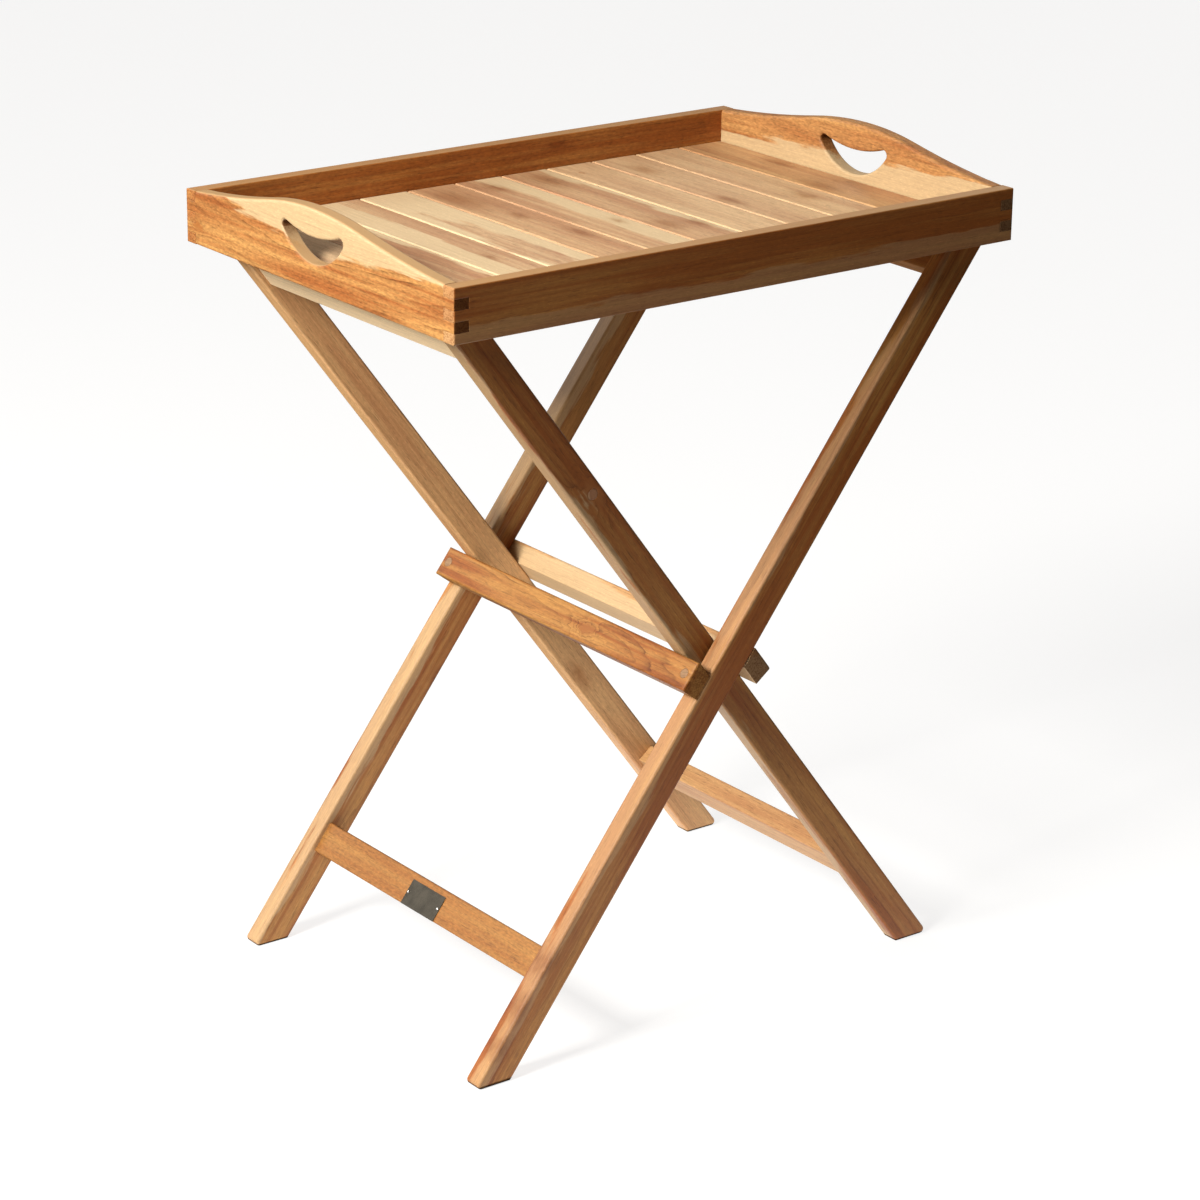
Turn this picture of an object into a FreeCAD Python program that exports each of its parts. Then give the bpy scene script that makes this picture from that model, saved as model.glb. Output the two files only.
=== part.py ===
"""Folding tray table in teak: a lift-off slatted tray on a scissor stand.

X runs along the tray, Y from front to back, Z up. The origin is on the floor under the middle of the
tray. The outer frame's legs lean up to the right, the inner frame's legs lean up to the left, and both
turn on pins between the legs. Lengths are in millimetres.
"""
import FreeCAD, Part
import math
import os
import Sketcher

os.makedirs("parts", exist_ok=True)
doc = FreeCAD.newDocument("tray_table")

# Counts
slat_count = 11
finger_count = 5

# Driving sizes, each set by itself
sizes = {
    # Tray boards
    "tray_length": 660.0,
    "tray_depth": 449.0,
    "tray_wall": 16.0,
    "tray_wall_height": 52.0,
    "board_edge_radius": 1.2,
    # Handle ends: both are cut to one template, with the top of the hump a little off the middle
    "handle_rise": 25.0,
    "hump_offset": 9.0,
    "crown_width_share": 0.365,
    "crown_drop_share": 0.29,
    "hump_edge_radius": 3.0,
    # The smile-shaped finger gap under the grip, measured to its corners before they are rounded
    "grip_height": 27.3,
    "gap_width": 114.0,
    "gap_offset": 3.0,
    "gap_sag": 12.2,
    "gap_depth": 37.2,
    "gap_corner_radius": 4.8,
    "gap_edge_radius": 2.5,
    # Slats, held by tongues in grooves in the long boards
    "slat_thickness": 16.0,
    "slat_underside": 3.0,
    "slat_gap": 2.4,
    "slat_edge_radius": 1.0,
    "tongue_thickness": 6.0,
    "tongue_length": 6.0,
    "slat_clearance": 0.2,
    # Stand
    "stand_height": 746.4,
    "pivot_height": 362.0,
    "leg_width": 33.5,
    "leg_thickness": 21.0,
    "leg_gap": 2.1,
    "leg_edge_radius": 2.6,
    "foot_edge_radius": 4.5,
    "tray_end_clearance": 0.7,
    "tray_side_clearance": 0.5,
    "tray_seat_clearance": 0.1,
    # Rails between the legs, placed along the leg from its top and from its foot
    "rail_width": 33.5,
    "rail_thickness": 21.5,
    "rail_edge_radius": 1.5,
    "top_rail_drop": 28.0,
    "lower_rail_rise": 121.5,
    "tenon_width": 24.0,
    "tenon_thickness": 9.0,
    "tenon_length": 12.0,
    "glue_gap": 0.1,
    # Stop rails, which the other frame's legs lean on
    "stop_rail_width": 32.0,
    "stop_rail_thickness": 21.5,
    "stop_edge_radius": 2.4,
    "stop_clearance": 0.3,
    "screw_diameter": 4.5,
    "screw_head_diameter": 8.0,
    "screw_head_height": 3.5,
    "screw_bite": 18.0,
    "plug_diameter": 10.0,
    "plug_thickness": 6.0,
    # Pivots
    "pin_diameter": 8.0,
    "pin_depth": 14.0,
    "pin_chamfer": 0.6,
    "pin_clearance": 0.05,
    "washer_diameter": 20.0,
    # Round wood plug in the inner front leg
    "leg_plug_diameter": 11.0,
    "leg_plug_depth": 5.0,
    "leg_plug_place": 248.0,
    "leg_plug_offset": 4.5,
    # Bare metal plate on the outer lower rail
    "plate_length": 56.0,
    "plate_height": 27.0,
    "plate_thickness": 0.8,
    "plate_corner_radius": 0.8,
    "plate_drop": 3.3,
    "plate_pin_inset": 2.6,
    "plate_pin_diameter": 1.6,
    "plate_pin_head_radius": 1.5,
    "plate_pin_length": 8.0,
}

# Sizes worked out from the driving ones
worked = {
    "inner_length": "Sizes.tray_length - 2 * Sizes.tray_wall",
    "inner_depth": "Sizes.tray_depth - 2 * Sizes.tray_wall",
    "tray_bottom": "Sizes.stand_height + Sizes.tray_seat_clearance - Sizes.slat_underside",
    "finger_height": f"Sizes.tray_wall_height / {finger_count}",
    # The hump falls from its top in a round crown, then in a hollow flank that runs on from the crown
    "hump_top": "Sizes.tray_wall_height + Sizes.handle_rise",
    "crown_drop": "Sizes.crown_drop_share * Sizes.handle_rise",
    "flank_drop": "Sizes.handle_rise - crown_drop",
    "short_run": "inner_depth / 2 - Sizes.hump_offset",
    "long_run": "inner_depth / 2 + Sizes.hump_offset",
    "gap_corner_height": "hump_top - Sizes.grip_height + Sizes.gap_sag",
    "gap_low_corner": "Sizes.gap_offset - Sizes.gap_width / 2",
    "gap_high_corner": "Sizes.gap_offset + Sizes.gap_width / 2",
    "gap_top_radius": "((Sizes.gap_width / 2)^2 + Sizes.gap_sag^2) / (2 * Sizes.gap_sag)",
    "gap_low_radius": "((Sizes.gap_width / 2)^2 + Sizes.gap_depth^2) / (2 * Sizes.gap_depth)",
    "slat_pitch": f"inner_length / {slat_count}",
    "slat_width": "slat_pitch - Sizes.slat_gap",
    "tongue_low": "(Sizes.slat_thickness - Sizes.tongue_thickness) / 2",
    "tongue_high": "(Sizes.slat_thickness + Sizes.tongue_thickness) / 2",
    # Half widths of the two frames, over their legs and between their legs
    "outer_over": "inner_depth / 2 - Sizes.tray_side_clearance",
    "outer_between": "outer_over - Sizes.leg_thickness",
    "inner_over": "outer_between - Sizes.leg_gap",
    "inner_between": "inner_over - Sizes.leg_thickness",
    # The legs' lean puts the outer corner of their tops just inside the tray's ends
    "top_rise": "Sizes.stand_height - Sizes.pivot_height",
    "top_spread": "inner_length / 2 - Sizes.tray_end_clearance",
    "lean": "atan(top_rise / top_spread) + asin(Sizes.leg_width / 2 / hypot(top_spread; top_rise))",
    "foot_reach": "Sizes.pivot_height / sin(lean)",
    "top_reach": "top_rise / sin(lean)",
    "end_slant": "Sizes.leg_width / 2 / tan(lean)",
    "top_rail_place": "top_reach - Sizes.top_rail_drop",
    "lower_rail_place": "Sizes.lower_rail_rise - foot_reach",
    # The stop rail's bevel lies along the other frame's legs
    "stop_near": "-end_slant - Sizes.stop_clearance / sin(2 * lean)",
    "stop_far": "stop_near - Sizes.stop_rail_thickness / tan(2 * lean)",
    "stop_low": "stop_far - Sizes.stop_rail_width",
    "screw_place": "(stop_far + stop_low) / 2",
    "stop_face": "Sizes.leg_width / 2 + Sizes.stop_rail_thickness",
    "screw_head_low": "stop_face - Sizes.plug_thickness - Sizes.screw_head_height",
    "screw_hole": "Sizes.screw_diameter + 2 * Sizes.glue_gap",
    "plug_hole": "Sizes.plug_diameter + 2 * Sizes.glue_gap",
    "pin_hole": "Sizes.pin_diameter + 2 * Sizes.pin_clearance",
    "pin_length": "2 * Sizes.pin_depth + Sizes.leg_gap",
    "plate_place": "lower_rail_place - Sizes.plate_drop",
    "plate_pin_spread": "Sizes.plate_length / 2 - Sizes.plate_pin_inset",
    "plate_pin_hole": "Sizes.plate_pin_diameter + 2 * Sizes.glue_gap",
}
for side in ("short", "long"):
    crown, flank = f"{side}_crown", f"({side}_run - {side}_crown)"
    worked[crown] = f"Sizes.crown_width_share * {side}_run"
    worked[f"{side}_crown_radius"] = f"({crown}^2 + crown_drop^2) / (2 * crown_drop)"
    worked[f"{side}_flank_turn"] = f"2 * atan(crown_drop / {crown}) - atan(flank_drop / {flank})"
    worked[f"{side}_flank_radius"] = f"hypot({flank}; flank_drop) / 2 / sin({side}_flank_turn)"


def fill_sheet(name, cells, as_formula):
    """Makes a sheet with one named cell in each row."""
    sheet = doc.addObject("Spreadsheet::Sheet", name)
    for row, (alias, content) in enumerate(cells.items(), start=1):
        sheet.set(f"A{row}", alias)
        sheet.set(f"B{row}", f"={content}" if as_formula else str(content))
        sheet.setAlias(f"B{row}", alias)
        doc.recompute()
    return sheet


fill_sheet("Sizes", sizes, as_formula=False)
worked_sheet = fill_sheet("Worked", worked, as_formula=True)

# Room for rounding when edges are picked by place
near = 1e-4
sub_parts = []


def read(formula):
    """The number that a formula gives, in millimetres or degrees."""
    value = worked_sheet.evalExpression(formula)
    return float(getattr(value, "Value", value))


def new_body(label):
    body = doc.addObject("PartDesign::Body", label)
    body.Label = label
    sub_parts.append(body)
    return body


def new_sketch(body, role, height="0"):
    """A sketch parallel to one of the body's own origin planes, at a height along its normal."""
    planes = {feature.Role: feature for feature in body.Origin.OriginFeatures}
    sketch = body.newObject("Sketcher::SketchObject", f"{body.Name}_sketch")
    sketch.AttachmentSupport = [(planes[role], "")]
    sketch.MapMode = "FlatFace"
    sketch.setExpression("AttachmentOffset.Base.z", height)
    return sketch


def hold(sketch, constraint, formula):
    index = sketch.addConstraint(constraint)
    sketch.setExpression(f"Constraints[{index}]", formula)


def place_point(sketch, piece, end, x, y):
    """Ties one end of a piece of an outline to a place given by two formulas."""
    hold(sketch, Sketcher.Constraint("DistanceX", -1, 1, piece, end, read(x)), x)
    hold(sketch, Sketcher.Constraint("DistanceY", -1, 1, piece, end, read(y)), y)


def arc_between(start, end, radius, turn):
    """The arc of less than half a circle that turns left or right from start to end."""
    chord = end - start
    left = FreeCAD.Vector(-chord.y, chord.x, 0) / chord.Length
    side = 1 if turn == "left" else -1
    height = math.sqrt(radius ** 2 - (chord.Length / 2) ** 2)
    centre = (start + end) / 2 + left * (side * height)
    first, last = (start, end) if turn == "left" else (end, start)
    from_angle = math.atan2(first.y - centre.y, first.x - centre.x)
    to_angle = math.atan2(last.y - centre.y, last.x - centre.x)
    if to_angle < from_angle:
        to_angle += 2 * math.pi
    return Part.ArcOfCircle(Part.Circle(centre, FreeCAD.Vector(0, 0, 1), radius), from_angle, to_angle)


def outline(sketch, corners):
    """A closed loop of corners. A corner can add the radius and turn of an arc that leaves it."""
    places = [FreeCAD.Vector(read(corner[0]), read(corner[1]), 0) for corner in corners]
    pieces = []
    for corner, start, end in zip(corners, places, places[1:] + places[:1]):
        if len(corner) == 2:
            index = sketch.addGeometry(Part.LineSegment(start, end), False)
            pieces.append((index, 1, 2))
            continue
        x, y, radius, turn = corner
        index = sketch.addGeometry(arc_between(start, end, read(radius), turn), False)
        pieces.append((index, 1, 2) if turn == "left" else (index, 2, 1))
    for (index, first, last), (next_index, next_first, _) in zip(pieces, pieces[1:] + pieces[:1]):
        sketch.addConstraint(Sketcher.Constraint("Coincident", index, last, next_index, next_first))
    for (index, first, last), corner in zip(pieces, corners):
        place_point(sketch, index, first, corner[0], corner[1])
        if len(corner) > 2:
            hold(sketch, Sketcher.Constraint("Radius", index, read(corner[2])), corner[2])


def rectangle(sketch, x_low, x_high, y_low, y_high):
    outline(sketch, [(x_low, y_low), (x_high, y_low), (x_high, y_high), (x_low, y_high)])


def circle(sketch, x, y, diameter):
    centre = FreeCAD.Vector(read(x), read(y), 0)
    index = sketch.addGeometry(Part.Circle(centre, FreeCAD.Vector(0, 0, 1), read(diameter) / 2), False)
    place_point(sketch, index, 3, x, y)
    hold(sketch, Sketcher.Constraint("Diameter", index, read(diameter)), diameter)


def pad(body, sketch, length, reverse=False):
    feature = body.newObject("PartDesign::Pad", f"{body.Name}_pad")
    feature.Profile = sketch
    feature.Reversed = reverse
    feature.setExpression("Length", length)
    doc.recompute()


def pocket(body, sketch, depth, reverse=False):
    """Cuts against the sketch's normal, or along it when reversed, and makes sure that it cut."""
    before = body.Shape.Volume
    feature = body.newObject("PartDesign::Pocket", f"{body.Name}_pocket")
    feature.Profile = sketch
    feature.Reversed = reverse
    feature.setExpression("Length", depth)
    doc.recompute()
    if not body.Shape.Volume < before - near:
        raise ValueError(f"a pocket in {body.Label} cut nothing")


def dress_edges(body, kind, size_name, size, wanted):
    """Rounds or chamfers the tip's edges that the wanted test picks."""
    tip = body.Tip
    names = [f"Edge{number}" for number, edge in enumerate(tip.Shape.Edges, start=1) if wanted(edge)]
    feature = body.newObject(f"PartDesign::{kind}", f"{body.Name}_{kind.lower()}")
    feature.Base = (tip, names)
    feature.setExpression(size_name, size)
    doc.recompute()


def round_edges(body, radius, wanted):
    dress_edges(body, "Fillet", "Radius", radius, wanted)


def runs_along(edge, axis):
    """True for a straight edge parallel to the X, Y or Z axis."""
    box = edge.BoundBox
    spans = {"X": box.XLength, "Y": box.YLength, "Z": box.ZLength}
    return all(span < near for name, span in spans.items() if name != axis)


def lies_at(edge, **places):
    """True for an edge that lies wholly at the given x, y or z."""
    box = edge.BoundBox
    ends = {"x": (box.XMin, box.XMax), "y": (box.YMin, box.YMax), "z": (box.ZMin, box.ZMax)}
    return all(abs(end - place) < near for name, place in places.items() for end in ends[name])


def put(item, x="0", y="0", z="0", turn="0"):
    """Places a sub-part, turned about the vertical."""
    item.setExpression(
        "Placement", f"placement(vector({x}; {y}; {z}); rotation(vector(0; 0; 1); {turn}))")


def put_in_frame(item, frame, y="0"):
    """Places a sub-part modelled with X up along the legs, Z square to them and the pivot at its origin."""
    turn = {"outer": "0", "inner": "180"}[frame]
    item.setExpression(
        "Placement",
        f"placement(vector(0; 0; Sizes.pivot_height); rotation(vector(0; 0; 1); {turn}))"
        f" * placement(vector(0; {y}; 0); rotation(vector(0; 1; 0); -Worked.lean))")


def finger_steps(long_reach, short_reach, long_level):
    """Corners of one finger-jointed edge, from its foot to its top."""
    steps = []
    for level in range(finger_count):
        reach = long_reach if level % 2 == long_level else short_reach
        steps.append((reach, f"{level} * Worked.finger_height"))
        steps.append((reach, f"{level + 1} * Worked.finger_height"))
    return steps


def mirrored(corners):
    return [(f"-({x})", y) for x, y in reversed(corners)]


# Tray: two long boards with grooves for the slats
def tray_rail(label, y, turn):
    body = new_body(label)
    steps = finger_steps("Sizes.tray_length / 2", "Worked.inner_length / 2", 0)
    face = new_sketch(body, "XZ_Plane")
    outline(face, steps + mirrored(steps))
    pad(body, face, "Sizes.tray_wall", reverse=True)

    end, top = read("Sizes.tray_length / 2"), read("Sizes.tray_wall_height")
    round_edges(body, "Sizes.board_edge_radius", lambda edge: (
        runs_along(edge, "X") and (lies_at(edge, z=top) or lies_at(edge, y=0, z=0))
        or runs_along(edge, "Z") and (lies_at(edge, x=end, y=0) or lies_at(edge, x=-end, y=0))
        or runs_along(edge, "Y") and (lies_at(edge, x=end, z=top) or lies_at(edge, x=-end, z=top))))

    groove = new_sketch(body, "XZ_Plane", "-Sizes.tray_wall")
    rectangle(groove, "-Worked.inner_length / 2", "Worked.inner_length / 2",
              "Sizes.slat_underside + Worked.tongue_low - Sizes.slat_clearance",
              "Sizes.slat_underside + Worked.tongue_high + Sizes.slat_clearance")
    pocket(body, groove, "Sizes.tongue_length + Sizes.slat_clearance", reverse=True)
    put(body, y=y, z="Worked.tray_bottom", turn=turn)


# Tray: two ends, each with a hump and a finger gap
def tray_end(label, x, turn):
    body = new_body(label)
    steps = finger_steps("Sizes.tray_depth / 2", "Worked.inner_depth / 2", 1)
    crown_foot = "Worked.hump_top - Worked.crown_drop"
    hump = [
        ("Worked.inner_depth / 2", "Sizes.tray_wall_height", "Worked.short_flank_radius", "right"),
        ("Sizes.hump_offset + Worked.short_crown", crown_foot, "Worked.short_crown_radius", "left"),
        ("Sizes.hump_offset", "Worked.hump_top", "Worked.long_crown_radius", "left"),
        ("Sizes.hump_offset - Worked.long_crown", crown_foot, "Worked.long_flank_radius", "right"),
    ]
    face = new_sketch(body, "YZ_Plane")
    outline(face, steps[:-1] + hump + mirrored(steps))
    pad(body, face, "Sizes.tray_wall")

    gap = new_sketch(body, "YZ_Plane")
    outline(gap, [
        ("Worked.gap_low_corner", "Worked.gap_corner_height", "Worked.gap_low_radius", "left"),
        ("Worked.gap_high_corner", "Worked.gap_corner_height", "Worked.gap_top_radius", "right"),
    ])
    pocket(body, gap, "Sizes.tray_wall", reverse=True)
    low_corner, high_corner = read("Worked.gap_low_corner"), read("Worked.gap_high_corner")
    corner_height = read("Worked.gap_corner_height")
    round_edges(body, "Sizes.gap_corner_radius", lambda edge: runs_along(edge, "X") and (
        lies_at(edge, y=low_corner, z=corner_height) or lies_at(edge, y=high_corner, z=corner_height)))

    wall, top, end = read("Sizes.tray_wall"), read("Sizes.tray_wall_height"), read("Sizes.tray_depth / 2")
    gap_floor = read("Worked.gap_corner_height - Sizes.gap_depth")

    def on_a_face(edge):
        return lies_at(edge, x=0) or lies_at(edge, x=wall)

    def round_the_gap(edge):
        box = edge.BoundBox
        between = low_corner < box.YMin and box.YMax < high_corner
        return on_a_face(edge) and between and gap_floor - near < box.ZMin and box.ZMax < corner_height + near

    round_edges(body, "Sizes.gap_edge_radius", round_the_gap)
    round_edges(body, "Sizes.hump_edge_radius", lambda edge: (
        on_a_face(edge) and edge.BoundBox.ZMin > top - near and edge.BoundBox.YLength > near))
    round_edges(body, "Sizes.board_edge_radius", lambda edge: (
        runs_along(edge, "Y") and lies_at(edge, x=0, z=0)
        or runs_along(edge, "Z") and (lies_at(edge, x=0, y=end) or lies_at(edge, x=0, y=-end))))
    put(body, x=x, z="Worked.tray_bottom", turn=turn)


# Tray: slats from front to back
def tray_slat(number):
    body = new_body(f"tray_slat_{number:02d}")
    shoulder = "Worked.inner_depth / 2 - Sizes.slat_clearance"
    tip = "Worked.inner_depth / 2 + Sizes.tongue_length"
    right = [
        (shoulder, "0"), (shoulder, "Worked.tongue_low"), (tip, "Worked.tongue_low"),
        (tip, "Worked.tongue_high"), (shoulder, "Worked.tongue_high"), (shoulder, "Sizes.slat_thickness"),
    ]
    side = new_sketch(body, "YZ_Plane", "-Worked.slat_width / 2")
    outline(side, right + mirrored(right))
    pad(body, side, "Worked.slat_width")
    thickness = read("Sizes.slat_thickness")
    round_edges(body, "Sizes.slat_edge_radius", lambda edge: (
        runs_along(edge, "Y") and (lies_at(edge, z=thickness) or lies_at(edge, z=0))
        or runs_along(edge, "X") and lies_at(edge, z=thickness)))
    places_from_middle = f"({number} - ({slat_count} + 1) / 2)"
    put(body, x=f"{places_from_middle} * Worked.slat_pitch", z="Worked.tray_bottom + Sizes.slat_underside")


# Stand: legs, with X up along the leg and the outer wide face at y = 0
def leg(frame, place):
    body = new_body(f"{frame}_leg_{place}")
    # The inner frame is turned half round, so its front leg is drawn on the far side
    near_side = (place == "front") == (frame == "outer")
    inward = "-1" if near_side else "1"
    half = "Sizes.leg_width / 2"
    face = new_sketch(body, "XZ_Plane")
    outline(face, [
        ("-Worked.foot_reach + Worked.end_slant", f"-{half}"),
        ("Worked.top_reach + Worked.end_slant", f"-{half}"),
        ("Worked.top_reach - Worked.end_slant", half),
        ("-Worked.foot_reach - Worked.end_slant", half),
    ])
    pad(body, face, "Sizes.leg_thickness", reverse=near_side)

    heel = read("-Worked.foot_reach - Worked.end_slant")
    half_width = read(half)
    round_edges(body, "Sizes.foot_edge_radius", lambda edge: (
        runs_along(edge, "Y") and lies_at(edge, x=heel, z=half_width)))
    round_edges(body, "Sizes.leg_edge_radius", lambda edge: runs_along(edge, "X"))

    inner_face = f"{inward} * Sizes.leg_thickness"
    for rail_place in ("Worked.top_rail_place", "Worked.lower_rail_place"):
        mortise = new_sketch(body, "XZ_Plane", inner_face)
        rectangle(mortise,
                  f"{rail_place} - Sizes.tenon_width / 2 - Sizes.glue_gap",
                  f"{rail_place} + Sizes.tenon_width / 2 + Sizes.glue_gap",
                  "-Sizes.tenon_thickness / 2 - Sizes.glue_gap",
                  "Sizes.tenon_thickness / 2 + Sizes.glue_gap")
        pocket(body, mortise, "Sizes.tenon_length + Sizes.glue_gap", reverse=near_side)

    # The pivot hole is in the face that meets the other frame's leg
    pivot_face = inner_face if frame == "outer" else "0"
    pivot = new_sketch(body, "XZ_Plane", pivot_face)
    circle(pivot, "0", "0", "Worked.pin_hole")
    pocket(body, pivot, "Sizes.pin_depth", reverse=near_side if frame == "outer" else not near_side)

    screw = new_sketch(body, "XY_Plane", half)
    circle(screw, "Worked.screw_place", f"-{inward} * Sizes.leg_thickness / 2", "Worked.screw_hole")
    pocket(body, screw, "Sizes.screw_bite + Sizes.glue_gap")

    if (frame, place) == ("inner", "front"):
        plug = new_sketch(body, "XZ_Plane")
        circle(plug, "Sizes.leg_plug_place", "Sizes.leg_plug_offset",
               "Sizes.leg_plug_diameter + 2 * Sizes.glue_gap")
        pocket(body, plug, "Sizes.leg_plug_depth", reverse=not near_side)

    put_in_frame(body, frame, f"{inward} * Worked.{frame}_over")


# Stand: rails tenoned between the legs
def rail(frame, label, place, pin_holes=False):
    body = new_body(label)
    between = f"Worked.{frame}_between"
    for width, thickness, reach in (
        ("Sizes.rail_width", "Sizes.rail_thickness", between),
        ("Sizes.tenon_width", "Sizes.tenon_thickness", f"{between} + Sizes.tenon_length"),
    ):
        section = new_sketch(body, "XZ_Plane", f"-({reach})")
        rectangle(section, f"{place} - {width} / 2", f"{place} + {width} / 2",
                  f"-{thickness} / 2", f"{thickness} / 2")
        pad(body, section, f"2 * ({reach})")
    half_thickness = read("Sizes.rail_thickness / 2")
    round_edges(body, "Sizes.rail_edge_radius", lambda edge: runs_along(edge, "Y") and (
        lies_at(edge, z=half_thickness) or lies_at(edge, z=-half_thickness)))
    if pin_holes:
        for side in ("-", ""):
            hole = new_sketch(body, "XY_Plane", "Sizes.rail_thickness / 2")
            circle(hole, "Worked.plate_place", f"{side}Worked.plate_pin_spread", "Worked.plate_pin_hole")
            pocket(body, hole, "Sizes.plate_pin_length")
    put_in_frame(body, frame)


def leg_middle(frame, side):
    return f"{side}(Worked.{frame}_over - Sizes.leg_thickness / 2)"


# Stand: bevelled stop rails across the legs, held by screws under wood plugs
def stop_rail(frame):
    body = new_body(f"{frame}_stop_rail")
    seat, face = "Sizes.leg_width / 2", "Worked.stop_face"
    section = new_sketch(body, "XZ_Plane", "-Worked.outer_over")
    outline(section, [
        ("Worked.stop_near", seat),
        ("Worked.stop_far", face),
        ("Worked.stop_low", face),
        ("Worked.stop_low", seat),
    ])
    pad(body, section, "2 * Worked.outer_over")
    outer = read(face)
    round_edges(body, "Sizes.stop_edge_radius", lambda edge: lies_at(edge, z=outer))
    for side in ("-", ""):
        y = leg_middle(frame, side)
        for height, diameter, depth in (
            (face, "Worked.plug_hole", "Sizes.plug_thickness + Sizes.screw_head_height"),
            ("Worked.screw_head_low", "Worked.screw_hole", f"Worked.screw_head_low - {seat}"),
        ):
            hole = new_sketch(body, "XY_Plane", height)
            circle(hole, "Worked.screw_place", y, diameter)
            pocket(body, hole, depth)
    put_in_frame(body, frame)


def round_solid(kind, label, x, y, z, **measures):
    """A plain cylinder or ball, upright at the given place."""
    item = doc.addObject(f"Part::{kind}", label)
    for measure, formula in measures.items():
        item.setExpression(measure, formula)
    item.setExpression("Placement", f"placement(vector({x}; {y}; {z}); rotation(vector(0; 0; 1); 0))")
    return item


def joined(label, base, tool):
    item = doc.addObject("Part::Fuse", label)
    item.Base = base
    item.Tool = tool
    return item


def group(label, items):
    """Identical fasteners as separate solids of one sub-part."""
    item = doc.addObject("Part::Compound", label)
    item.Label = label
    item.Links = items
    sub_parts.append(item)
    return item


def stop_screws(frame):
    screws = []
    for side in ("-", ""):
        x, y = "Worked.screw_place", leg_middle(frame, side)
        shank_low = "Sizes.leg_width / 2 - Sizes.screw_bite"
        shank = round_solid("Cylinder", "screw_shank", x, y, shank_low,
                            Radius="Sizes.screw_diameter / 2",
                            Height=f"Worked.screw_head_low - ({shank_low})")
        head = round_solid("Cylinder", "screw_head", x, y, "Worked.screw_head_low",
                           Radius="Sizes.screw_head_diameter / 2", Height="Sizes.screw_head_height")
        screws.append(joined("screw", shank, head))
    put_in_frame(group(f"{frame}_stop_screws", screws), frame)


def stop_plugs(frame):
    plugs = [
        round_solid("Cylinder", "plug", "Worked.screw_place", leg_middle(frame, side),
                    "Worked.stop_face - Sizes.plug_thickness",
                    Radius="Sizes.plug_diameter / 2", Height="Sizes.plug_thickness")
        for side in ("-", "")
    ]
    put_in_frame(group(f"{frame}_stop_plugs", plugs), frame)


# Pivots: a blind pin and a washer between each pair of legs
def pivot_pin(place, side):
    body = new_body(f"pivot_pin_{place}")
    section = new_sketch(body, "XZ_Plane", "-Worked.pin_length / 2")
    circle(section, "0", "0", "Sizes.pin_diameter")
    pad(body, section, "Worked.pin_length")
    dress_edges(body, "Chamfer", "Size", "Sizes.pin_chamfer", lambda edge: edge.BoundBox.YLength < near)
    put(body, y=f"{side}(Worked.outer_between - Sizes.leg_gap / 2)", z="Sizes.pivot_height")


def pivot_washer(place, side):
    body = new_body(f"pivot_washer_{place}")
    section = new_sketch(body, "XZ_Plane", "-Sizes.leg_gap / 2")
    circle(section, "0", "0", "Sizes.washer_diameter")
    circle(section, "0", "0", "Worked.pin_hole")
    pad(body, section, "Sizes.leg_gap")
    put(body, y=f"{side}(Worked.outer_between - Sizes.leg_gap / 2)", z="Sizes.pivot_height")


def leg_plug():
    body = new_body("inner_leg_plug")
    face = new_sketch(body, "XZ_Plane")
    circle(face, "Sizes.leg_plug_place", "Sizes.leg_plug_offset", "Sizes.leg_plug_diameter")
    pad(body, face, "Sizes.leg_plug_depth")
    put_in_frame(body, "inner", "Worked.inner_over")


# Bare plate on the outer lower rail, with its two pins
def label_plate():
    body = new_body("label_plate")
    face = new_sketch(body, "XY_Plane", "Sizes.rail_thickness / 2")
    low, high = "Worked.plate_place - Sizes.plate_height / 2", "Worked.plate_place + Sizes.plate_height / 2"
    end = "Sizes.plate_length / 2"
    rectangle(face, low, high, f"-{end}", end)
    for side in ("-", ""):
        circle(face, "Worked.plate_place", f"{side}Worked.plate_pin_spread", "Worked.plate_pin_hole")
    pad(body, face, "Sizes.plate_thickness")
    corners = [(read(x), read(y)) for x in (low, high) for y in (f"-{end}", end)]
    round_edges(body, "Sizes.plate_corner_radius", lambda edge: (
        any(lies_at(edge, x=x, y=y) for x, y in corners)))
    put_in_frame(body, "outer")


def label_plate_pins():
    pins = []
    for side in ("-", ""):
        x, y = "Worked.plate_place", f"{side}Worked.plate_pin_spread"
        seat = "Sizes.rail_thickness / 2 + Sizes.plate_thickness"
        low = "Sizes.rail_thickness / 2 - Sizes.plate_pin_length"
        shank = round_solid("Cylinder", "plate_pin_shank", x, y, low,
                            Radius="Sizes.plate_pin_diameter / 2", Height=f"{seat} - ({low})")
        head = round_solid("Sphere", "plate_pin_head", x, y, seat,
                           Radius="Sizes.plate_pin_head_radius", Angle1="0")
        pins.append(joined("plate_pin", shank, head))
    put_in_frame(group("label_plate_pins", pins), "outer")


tray_rail("tray_front_rail", "-Sizes.tray_depth / 2", "0")
tray_rail("tray_back_rail", "Sizes.tray_depth / 2", "180")
tray_end("tray_left_end", "-Sizes.tray_length / 2", "0")
tray_end("tray_right_end", "Sizes.tray_length / 2", "180")
for slat_number in range(1, slat_count + 1):
    tray_slat(slat_number)

for frame_name in ("outer", "inner"):
    for leg_place in ("front", "back"):
        leg(frame_name, leg_place)
    rail(frame_name, f"{frame_name}_top_rail", "Worked.top_rail_place")
    rail(frame_name, f"{frame_name}_lower_rail", "Worked.lower_rail_place", pin_holes=frame_name == "outer")
    stop_rail(frame_name)
    stop_screws(frame_name)
    stop_plugs(frame_name)
leg_plug()

for pivot_place, pivot_side in (("front", "-"), ("back", "")):
    pivot_pin(pivot_place, pivot_side)
    pivot_washer(pivot_place, pivot_side)

label_plate()
label_plate_pins()

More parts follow.
